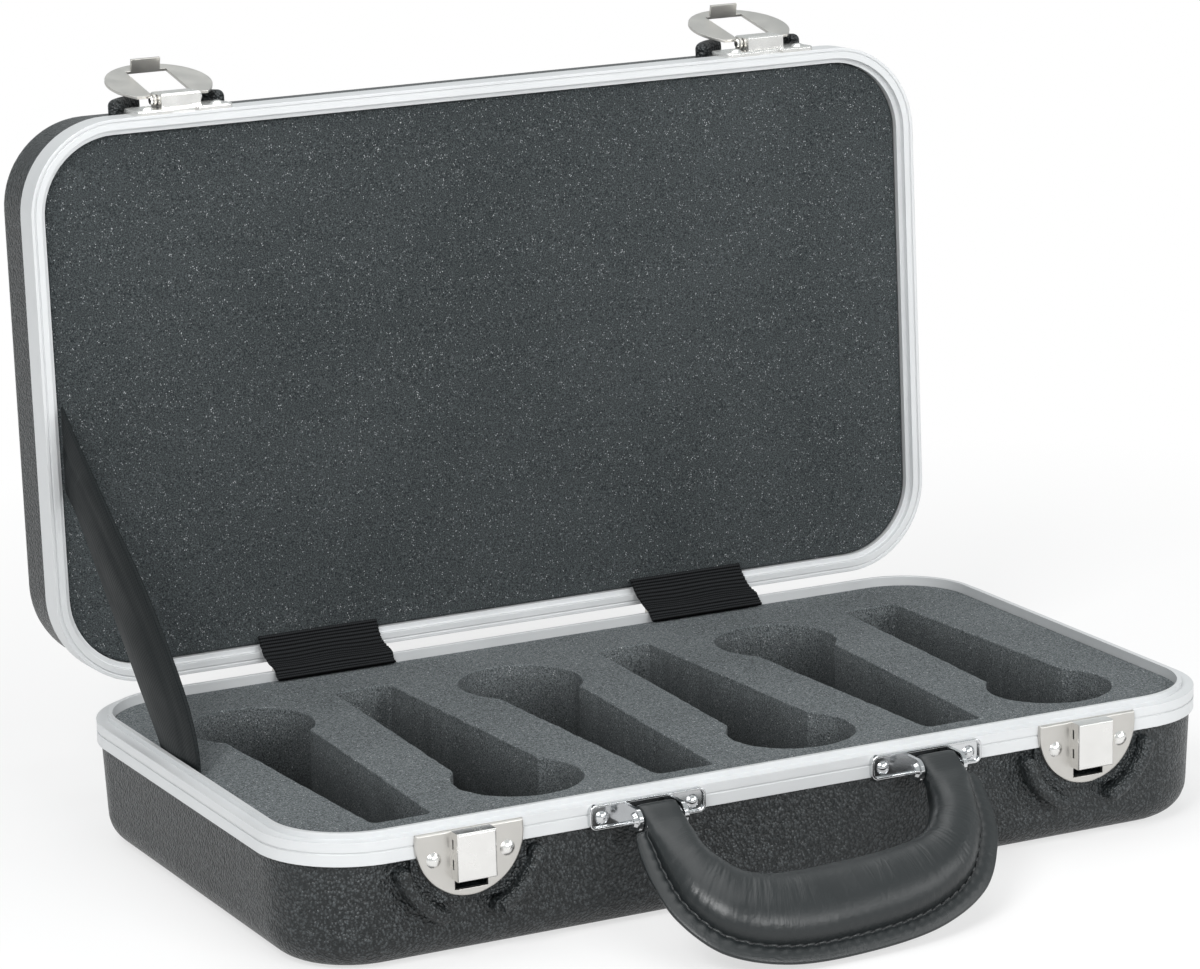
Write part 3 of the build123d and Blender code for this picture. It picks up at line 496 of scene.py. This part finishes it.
def skin(name, rows):
    """A closed mesh over a grid whose rows are rings, with a cap at each end."""
    rows = np.array(rows)
    count, across = rows.shape[:2]
    faces = []
    for i in range(count - 1):
        for j in range(across):
            k = (j + 1) % across
            faces.append((i * across + j, i * across + k, (i + 1) * across + k,
                          (i + 1) * across + j))
    faces.append(tuple(range(across - 1, -1, -1)))
    faces.append(tuple((count - 1) * across + j for j in range(across)))
    mesh = bpy.data.meshes.new(name)
    mesh.from_pydata(rows.reshape(-1, 3).tolist(), [], faces)
    mesh.validate()
    return mesh


# %% [markdown]
# ## The handle
#
# The grip is a roll of padding wrapped in black vinyl. Its two edges meet in a flat
# welt round the outside, sewn through close to the roll, and the vinyl creases
# where the roll bends. The grip is drawn level, pointing forward from its pins, and
# then let down until the welt meets the floor. A real one hangs a little crooked, so
# the line leans to the left and reaches further there. Each station holds the
# outer edge's x and reach, the inner edge's x and reach, the thickness, the width of
# the welt, and how square the section is.

# %% Stations of the grip
grip_end = [
    (72.2, -5.5, 56.4, -5.5, 3.4, 0.0, 1.0), (72.8, -5.1, 55.8, -5.1, 5.8, 0.0, 1.0),
    (73.0, -4.0, 55.6, -4.0, 7.8, 0.0, 1.0), (73.0, -2.0, 55.6, -2.0, 8.9, 0.0, 1.0),
    (73.0, 1.0, 55.6, 1.0, 9.3, 0.0, 1.0), (73.0, 4.6, 55.6, 4.6, 9.6, 0.0, 1.0),
    (73.6, 6.2, 55.5, 6.2, 9.9, 0.6, 0.96), (77.2, 7.2, 55.4, 7.4, 10.4, 4.2, 0.9)]
grip_half = [
    (78.4, 9.4, 55.2, 8.8, 11.2, 5.0, 0.75), (79.2, 17.0, 54.2, 12.4, 13.8, 6.8, 0.4),
    (78.6, 30.0, 52.8, 19.4, 17.6, 7.6, 0.12), (74.2, 48.0, 48.0, 28.4, 21.6, 8.0, 0.0),
    (60.0, 68.4, 40.0, 36.6, 24.4, 8.2, 0.0), (34.0, 80.4, 25.4, 40.4, 25.4, 8.2, 0.0),
    (0.0, 83.4, 0.0, 41.2, 25.4, 8.2, 0.0)]
HANDLE_PIN = Vector((0.0, -0.1334, 0.0488))
HANDLE_DROP, PIN_HEIGHT, EDGE_HALF, FLOOR_GAP = 85.0, 48.8, 2.5, 0.15
GRIP_ROWS, ROLL_POINTS = 440, 22
LEAN, LEAN_FROM, LEAN_OVER, ASKEW, ASKEW_OVER = 9.0, 7.0, 78.0, 0.06, 45.0
lowering = turned(HANDLE_PIN, math.asin((PIN_HEIGHT - EDGE_HALF - FLOOR_GAP) / HANDLE_DROP))


def mirrored(rows):
    """The same stations on the other side, in the opposite order."""
    return [(-a, b, -c, d, e, f, g) for a, b, c, d, e, f, g in rows[::-1]]


bend = through(grip_half + mirrored(grip_half[:-1]), GRIP_ROWS)
stations = np.vstack((grip_end, bend, mirrored(grip_end)))
for column in (0, 2):
    reach = stations[:, column + 1]
    free = np.clip((reach - LEAN_FROM) / ASKEW_OVER, 0.0, 1.0)
    stations[:, column + 1] = reach - ASKEW * stations[:, column] * free
    stations[:, column] -= LEAN * (np.clip(reach - LEAN_FROM, 0.0, None) / LEAN_OVER) ** 0.85
middle_line = (stations[:, 0:2] + stations[:, 2:4]) / 2
travel = np.concatenate(([0], np.cumsum(np.linalg.norm(np.diff(middle_line, axis=0), axis=1))))
print("length of the grip:", round(travel[-1]), "mm")


# %% The grip's section
def mixed(a, b, share):
    """A number part of the way from one to another."""
    return a + (b - a) * share


def grip_profile(reach, thick, welt, square):
    """Half of the section: how far out, and how high above the middle plane."""
    roll = reach - welt
    angle = np.linspace(math.pi, 0.0, ROLL_POINTS)
    side, up = np.cos(angle), np.abs(np.sin(angle))
    out = roll * (0.5 + 0.5 * np.sign(side) * np.abs(side) ** mixed(0.9, 0.45, square))
    high = thick / 2 * up ** mixed(0.80, 0.36, square)
    flange = min(1.0, welt / 6.0)
    high[-1] = 0.75 * flange
    high[-2] = max(high[-2] * 0.6, 1.2 * flange)
    flat = [(0.16, 1.30), (0.34, 1.45), (0.72, 1.35), (0.78, 0.92), (0.96, 0.84), (1.0, 0.30)]
    return list(zip(out, high)) + [(roll + share * welt, h * flange) for share, h in flat]


# %% The grip's skin, with its creases and the puckers between stitches
STITCH, GAP, SEAM_SHARE, PUCKER = 3.0, 1.7, 0.93, 0.50


def crease(run, share, side):
    """How far a point of the vinyl is lifted by creases, in millimetres."""
    near_bend = math.exp(-((abs(run / travel[-1] - 0.5) - 0.22) / 0.13) ** 2)
    slant = run * 1.9 + share * 9.0 * math.copysign(1.0, run - travel[-1] / 2) + side
    fold = math.sin(slant) * math.sin(slant * 0.43 + 4.0 * share) * math.sin(run * 0.16 + side)
    sag = math.sin(run * 0.23 + side) * math.sin(share * 7.0 + run * 0.09)
    return 0.15 * near_bend * fold + 0.16 * sag


grip_rows, seam_rows = [], []
for run, (ox, oy, ix, iy, thick, welt, square) in zip(travel, stations):
    wide = math.hypot(ox - ix, oy - iy)
    profile = grip_profile(wide, thick, welt, square)
    pull = (1.0 - square) * (0.5 - 0.5 * math.cos(2 * math.pi * run / (STITCH + GAP)))
    seam_at = (wide - SEAM_SHARE * welt) / wide
    ring = []
    for side, points in ((1, profile), (-1, profile[::-1])):
        for out, high in points:
            share = out / wide
            pucker = PUCKER * pull * math.exp(-((share - seam_at) / 0.07) ** 2)
            lift = crease(run, share, side) * min(1.0, high / 4) * (1.0 - square) + pucker
            ring.append(((ix + (ox - ix) * share) * MM,
                         HANDLE_PIN.y - (iy + (oy - iy) * share) * MM,
                         HANDLE_PIN.z + side * (high + lift) * MM))
    grip_rows.append(ring)
    seam_rows.append((run, ix + (ox - ix) * seam_at, iy + (oy - iy) * seam_at, 0.95 - square))

grip_mesh = skin("grip", grip_rows)
grip_mesh.transform(lowering)
way = grip_mesh.attributes.new("run", "FLOAT_VECTOR", "POINT")
around = [0.5 * k * MM for k in range(len(grip_rows[0]))]
way.data.foreach_set("vector", [v for run in travel for a in around
                                for v in (float(run) * MM, a, 0.0)])


# %% Black vinyl
def black_vinyl():
    """Vinyl with two sets of creases, laid out along and round the grip."""
    vinyl = Finish("black vinyl", (0.014, 0.016, 0.017), 0.34, specular_ior_level=0.55)
    run = vinyl.node("ShaderNodeAttribute", {"attribute_name": "run"}, output=1)
    bent = vinyl.node("ShaderNodeTexNoise", {}, run, output=1, Scale=110.0, Detail=2.0)
    bent = vinyl.node("ShaderNodeVectorMath", {"operation": "MULTIPLY_ADD"}, bent,
                      (0.006, 0.006, 0.0), run)
    across = vinyl.node("ShaderNodeMapping", {}, bent, Rotation=(0.0, 0.0, 0.5),
                        Scale=(1.0, 0.30, 1.0))
    along = vinyl.node("ShaderNodeMapping", {}, bent, Scale=(0.35, 1.0, 1.0))
    edges = [vinyl.node("ShaderNodeTexVoronoi", {"feature": "DISTANCE_TO_EDGE"}, way, Scale=size)
             for way, size in ((across, 800.0), (along, 560.0))]
    cuts = [vinyl.fade(edge, 0.0, 0.16) for edge in edges]
    where = vinyl.fade(vinyl.noise(0.035, 2.0), 0.42, 0.60)
    folds = (cuts[0] * where + cuts[1] * (1.0 - where)) * vinyl.fade(vinyl.noise(0.02), 0.3, 0.7)
    leather = vinyl.noise(0.0009, 3.0)
    slow = vinyl.noise(0.03, 3.0)
    vinyl.feed(base_color=vinyl.between(slow, (0.005, 0.0070, 0.0078), (0.012, 0.0155, 0.0167)),
               roughness=0.30 + 0.16 * vinyl.noise(0.012, 4.0),
               normal=vinyl.bump(leather, 0.00010, 0.5, vinyl.bump(folds, 0.00012, 0.5)))
    return vinyl.material


vinyl_black = black_vinyl()
grip = piece("grip", grip_mesh, vinyl_black, "handle")
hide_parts("handle_grip")

# %% [markdown]
# The seam is a row of short threads that lie in a groove. Each is a small spindle,
# a little aslant, on both faces of the welt.

# %% Stitches
SIDES = 6
SPINDLE = ((0.0, 0.35), (0.2, 0.9), (0.5, 1.0), (0.8, 0.9), (1.0, 0.35))
THREAD, ASLANT, SEAM_START = 0.00052, 0.45, 15.0


def spindles(name, places):
    """Small spindles, each from one point to another."""
    corners, faces = [], []
    for start, end in places:
        start, end = Vector(start), Vector(end)
        run = (end - start).normalized()
        side = run.orthogonal().normalized()
        other = run.cross(side)
        base = len(corners)
        for t, share in SPINDLE:
            for k in range(SIDES):
                a = 2 * math.pi * k / SIDES
                corners.append(start.lerp(end, t) + THREAD * share * (math.cos(a) * side
                                                                      + math.sin(a) * other))
        for i in range(len(SPINDLE) - 1):
            for k in range(SIDES):
                n = (k + 1) % SIDES
                faces.append((base + i * SIDES + k, base + i * SIDES + n,
                              base + (i + 1) * SIDES + n, base + (i + 1) * SIDES + k))
        faces.append(tuple(base + k for k in range(SIDES - 1, -1, -1)))
        faces.append(tuple(base + (len(SPINDLE) - 1) * SIDES + k for k in range(SIDES)))
    mesh = bpy.data.meshes.new(name)
    mesh.from_pydata(corners, [], faces)
    return mesh


seam = np.array(seam_rows)
threads = []
for start in np.arange(SEAM_START, travel[-1] - SEAM_START, STITCH + GAP):
    ends = [[np.interp(start + run, seam[:, 0], seam[:, k]) for k in (1, 2, 3)]
            for run in (-STITCH / 2, STITCH / 2)]
    for side in (1, -1):
        pair = []
        for k, (x, y, high) in enumerate(ends):
            aslant = ASLANT if k else -ASLANT
            pair.append((x * MM, HANDLE_PIN.y - (y + aslant) * MM,
                         HANDLE_PIN.z + side * (high + 0.15) * MM))
        threads.append(pair)
thread_mesh = spindles("grip_stitches", threads)
thread_mesh.transform(lowering)


def waxed_thread():
    """Twisted thread, a little paler than the vinyl."""
    thread = Finish("waxed thread", (0.030, 0.032, 0.034), 0.5, specular_ior_level=0.4)
    twist = thread.noise(0.0008, 2.0, stretch=(3.0, 1.0, 1.0))
    thread.feed(base_color=thread.between(twist, (0.018, 0.019, 0.020), (0.055, 0.057, 0.06)),
                normal=thread.bump(twist, 0.0002, 0.6))
    return thread.material


thread_black = waxed_thread()
stitches = piece("grip_stitches", thread_mesh, thread_black, "handle")
print("stitches:", len(threads))

# %% [markdown]
# ## The stay strap
#
# A folded tube of thin black cloth keeps the lid from falling back. It is tucked
# between foam and frame at both ends, so it leaves the base flat, twists a little,
# cups towards its middle and narrows where it goes in behind the lid's pad. Each
# station holds the x, y and z of its middle line, the heading in degrees above
# level, half the width, how deep it cups, and how far it leans in degrees.

# %% Stations of the strap
strap_stations = [
    (-205.6, 16.0, 52.0, 90.0, 18.8, 0.3, 0.0), (-205.6, 18.0, 60.0, 66.0, 18.8, 1.2, 1.0),
    (-205.4, 27.0, 72.0, 47.0, 18.8, 2.0, 2.0), (-205.2, 48.0, 91.5, 41.5, 18.4, 2.2, 3.0),
    (-205.2, 69.0, 110.0, 41.0, 17.4, 2.0, 3.0), (-205.6, 92.0, 129.5, 41.0, 15.6, 1.5, 2.0),
    (-206.2, 113.5, 148.0, 41.0, 14.2, 0.9, 1.0), (-206.4, 118.4, 151.8, 28.8, 14.5, 0.5, 0.5),
    (-206.6, 123.2, 155.6, 17.5, 15.4, 0.3, 0.0), (-206.8, 128.1, 159.4, 7.9, 16.9, 0.1, 0.0),
    (-206.9, 133.0, 163.2, 0.0, 18.7, 0.0, 0.0)]
STRAP_ROWS, STRAP_ACROSS, STRAP_THICK = 110, 26, 1.3
HEM, FOLD, RIPPLE, PUFF = 0.35, 0.30, 0.16, 0.9
strap_rows = []
for number, (x, y, z, heading, half, cup, lean) in enumerate(through(strap_stations, STRAP_ROWS)):
    run = Vector((0, math.cos(math.radians(heading)), math.sin(math.radians(heading))))
    across = Vector((math.sin(math.radians(lean)), -run.z, run.y))
    out = run.cross(across).normalized()
    ring = []
    for face, columns in ((1, range(STRAP_ACROSS + 1)), (-1, range(STRAP_ACROSS, -1, -1))):
        for k in columns:
            t = 2.0 * k / STRAP_ACROSS - 1.0
            hem = HEM * math.exp(-((abs(t) - 0.97) / 0.06) ** 2)
            fold = FOLD * math.exp(-((t - 0.35 - 0.2 * math.sin(number * 0.05)) / 0.14) ** 2)
            ripple = RIPPLE * math.sin(number * 0.33 + 5 * t) * (1 - t * t)
            rise = -cup * (1 - t * t) + fold + ripple
            puff = PUFF * (1 - t * t) * math.sin(math.pi * number / (STRAP_ROWS - 1)) ** 0.5
            thick = STRAP_THICK / 2 * (1.0 - 0.75 * abs(t) ** 14) + hem + puff
            point = Vector((x, y, z)) + across * half * t + out * (rise + face * thick)
            ring.append(point * MM)
    strap_rows.append(ring)
strap_mesh = skin("strap", strap_rows)


# %% Thin black cloth
def strap_cloth():
    """A fine weave of two sets of threads."""
    cloth = Finish("strap cloth", (0.010, 0.012, 0.0125), 0.50, specular_ior_level=0.14)
    weave = cloth.bands("DIAGONAL", 320.0, 0.4)
    cross = cloth.bands("Y", 320.0, 0.4)
    soft = cloth.noise(0.02, 3.0)
    height = cloth.node("ShaderNodeMath", {"operation": "MAXIMUM"}, weave, cross)
    cloth.feed(base_color=cloth.between(height, (0.002, 0.003, 0.0035), (0.013, 0.016, 0.017)),
               roughness=0.42 + 0.2 * soft, normal=cloth.bump(height, 0.00016, 0.7))
    return cloth.material


cloth_black = strap_cloth()
strap = piece("strap", strap_mesh, cloth_black)
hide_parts("stay_strap")
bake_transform(strap)

# %% [markdown]
# ## The hinge covers
#
# A band of coarse nylon webbing is glued over each hinge, from foam to foam. It has
# thick ribs along the case, and the ends of the ribs are heat-cut and a little
# uneven. The ribs are real relief, because they break the outline against the bright
# frames. Their light and shade are also painted, pale on the crests and nearly black
# between them. Each cover's line is given by the y and z of a few points over the hinge.

# %% Ribbed webbing
def ribbed_webbing():
    """Coarse webbing with a painted highlight on the rib crests and painted shade between them,
    mixed with thread and fuzz tone.
    """
    web = Finish("ribbed webbing", (0.014, 0.015, 0.016), 0.62, specular_ior_level=0.07)
    rib = web.node("ShaderNodeAttribute", {"attribute_name": "rib"}, output=1)
    crest = web.node("ShaderNodeSeparateXYZ", {}, rib, output=0)
    threads = web.bands("X", 330.0, 0.6, 1.0)
    fuzz = web.noise(0.0008, 3.0)
    # Painted highlight and shade: rib crests pale, valleys nearly black. Threads and fuzz add the
    # cloth's own tone.
    rib_shade_and_thread_tone = web.fade(crest, 0.35, 1.0) * (0.35 + 0.4 * threads + 0.4 * fuzz)
    web.feed(base_color=web.between(rib_shade_and_thread_tone, (0.001, 0.001, 0.0012), (0.026, 0.028, 0.030)),
             normal=web.bump(threads * 0.7 + fuzz * 0.3, 0.00025, 0.7))
    return web.material


webbing_black = ribbed_webbing()

# %% Covers
cover_line = [(110.6, 54.2), (113.0, 55.6), (115.2, 57.8), (117.6, 58.6), (121.2, 59.6),
              (125.5, 61.6), (128.4, 64.2), (130.6, 66.4), (132.3, 68.8)]
RIBS, RIB_STEPS, COVER_COLUMNS = 15, 10, 60
COVER_THICK, COVER_WIDE, COVER_LONG = 1.0, 56.0, 30.0
RIB_RELIEF, SAG, EDGE_DROP, EDGE_WAVER = 0.5, 0.35, 0.3, 0.05


def hinge_cover(name, middle_x, seed):
    """A ribbed band over one hinge, whose two cut edges waver a little."""
    rng = np.random.default_rng(seed)
    path = through(cover_line, RIBS * RIB_STEPS + 1)
    slope = np.gradient(path, axis=0)
    slope /= np.linalg.norm(slope, axis=1)[:, None]
    waver = np.cumsum(rng.normal(0, EDGE_WAVER, (2, len(path))), axis=1)
    rows, ribs = [], []
    for i, ((y, z), (dy, dz)) in enumerate(zip(path, slope)):
        rib = abs(math.sin(math.pi * i / RIB_STEPS)) ** 0.7
        low, high = -COVER_WIDE / 2 + waver[0][i], COVER_WIDE / 2 + waver[1][i]
        ring = []
        for face, order in ((1, range(COVER_COLUMNS + 1)), (-1, range(COVER_COLUMNS, -1, -1))):
            relief = RIB_RELIEF * rib if face > 0 else 0.0
            for k in order:
                t = k / COVER_COLUMNS
                sag = SAG * math.sin(t * 9.0 + seed) * math.sin(math.pi * i / len(path))
                edge = EDGE_DROP * math.exp(-min(t, 1 - t) * 60)
                lift = (COVER_THICK / 2 + relief - edge) * face + sag
                ring.append(((middle_x + low + (high - low) * t) * MM,
                             (y - dz * lift) * MM, (z + dy * lift) * MM))
                ribs += [rib, t, 0.0]
        rows.append(ring)
    mesh = skin(name, rows)
    mesh.attributes.new("rib", "FLOAT_VECTOR", "POINT").data.foreach_set("vector", ribs)
    cover = piece(name, mesh, webbing_black)
    return cover


for side, middle_x, seed in (("left", -94.2, 3), ("right", 89.6, 8)):
    cover = hinge_cover("web_" + side, middle_x, seed)
    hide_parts("hinge_cover_" + side)
    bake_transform(cover)

# %% [markdown]
# ## The floor and the light
#
# The case stands on a plain pale floor in soft studio light: a broad lamp from the
# upper left, a long one in front that whitens the frames, a weaker one from the
# right, a long one behind for the rims, and one straight above. Seen by the camera,
# the floor glows more the further it lies from the case, so it goes over into the
# white background and still keeps the shadow. Metal sees a brighter room than the
# one that lights the case, as it would between studio screens.

# %% Floor
def pale_floor():
    """A floor that mixes its lit surface with a plain white glow."""
    floor = Finish("pale floor", (0.93, 0.93, 0.93), 0.9, specular_ior_level=0.1)
    glow = floor.tree.nodes.new("ShaderNodeEmission")
    glow.inputs["Color"].default_value = (1.0, 1.0, 1.0, 1.0)
    away = floor.node("ShaderNodeVectorMath", {"operation": "LENGTH"},
                      floor.place((1.0, 1.0, 0.0)), output=1)
    rays = floor.tree.nodes.new("ShaderNodeLightPath")
    camera_ray, mirror_ray, glass_ray = (Wire(floor, rays.outputs["Is " + kind + " Ray"])
                                         for kind in ("Camera", "Glossy", "Transmission"))
    share = (camera_ray * (0.66 + 0.34 * floor.fade(away, 0.34, 0.75)) + mirror_ray * 0.5
             + glass_ray * 0.7)
    mix = floor.tree.nodes.new("ShaderNodeMixShader")
    surface = floor.tree.nodes["Material Output"].inputs["Surface"]
    for start, end in ((floor.fade(share, 0.0, 1.0).socket, mix.inputs[0]),
                       (floor.shader.outputs[0], mix.inputs[1]),
                       (glow.outputs[0], mix.inputs[2]), (mix.outputs[0], surface)):
        floor.tree.links.new(start, end)
    return floor.material


FLOOR_REACH = 12.0
ground = bpy.data.meshes.new("floor")
ground.from_pydata([(x * FLOOR_REACH, y * FLOOR_REACH, 0.0)
                    for x, y in ((-1, -1), (1, -1), (1, 1), (-1, 1))], [], [(0, 1, 2, 3)])
ground.materials.append(pale_floor())
floor_object = bpy.data.objects.new("floor", ground)
bpy.context.scene.collection.objects.link(floor_object)
print("floor:", 2 * FLOOR_REACH, "m across")


# %% Lamps
def soft_lamp(name, place, target, size, watts):
    """A rectangular lamp that faces its target."""
    light = bpy.data.lights.new(name, "AREA")
    light.shape = "RECTANGLE"
    light.size, light.size_y = size
    light.energy = watts
    lamp = bpy.data.objects.new(name, light)
    lamp.location = place
    lamp.rotation_euler = (Vector(target) - Vector(place)).to_track_quat("-Z", "Y").to_euler()
    bpy.context.scene.collection.objects.link(lamp)
    print(name, "lamp:", watts, "W")


middle = (0.0, 0.0, 0.12)
soft_lamp("key", (-1.5, -1.2, 1.7), middle, (0.9, 0.9), 36)
soft_lamp("front", (0.3, -2.3, 1.1), (0.0, -0.1, 0.0), (1.4, 0.6), 22)
soft_lamp("fill", (1.7, -1.2, 1.0), middle, (1.2, 1.0), 10)
soft_lamp("rim", (0.2, 1.2, 2.2), middle, (2.0, 0.7), 7)
soft_lamp("overhead", (0.0, 0.0, 2.2), middle, (1.6, 1.6), 12)

# %% The room round the case
LIGHT_LEVEL, MIRRORED_LEVEL = 0.26, 0.60
world = bpy.data.worlds.new("studio")
bpy.context.scene.world = world
world.use_nodes = True
sky = world.node_tree.nodes["Background"]
sky.inputs["Color"].default_value = (0.94, 0.99, 1.0, 1.0)
rays = world.node_tree.nodes.new("ShaderNodeLightPath")
level_of = world.node_tree.nodes.new("ShaderNodeMapRange")
level_of.inputs["To Min"].default_value = LIGHT_LEVEL
level_of.inputs["To Max"].default_value = MIRRORED_LEVEL
world.node_tree.links.new(rays.outputs["Is Glossy Ray"], level_of.inputs["Value"])
world.node_tree.links.new(level_of.outputs["Result"], sky.inputs["Strength"])
bpy.context.scene.view_settings.view_transform = "Standard"
print("room:", LIGHT_LEVEL, "and", MIRRORED_LEVEL, "in mirrors")
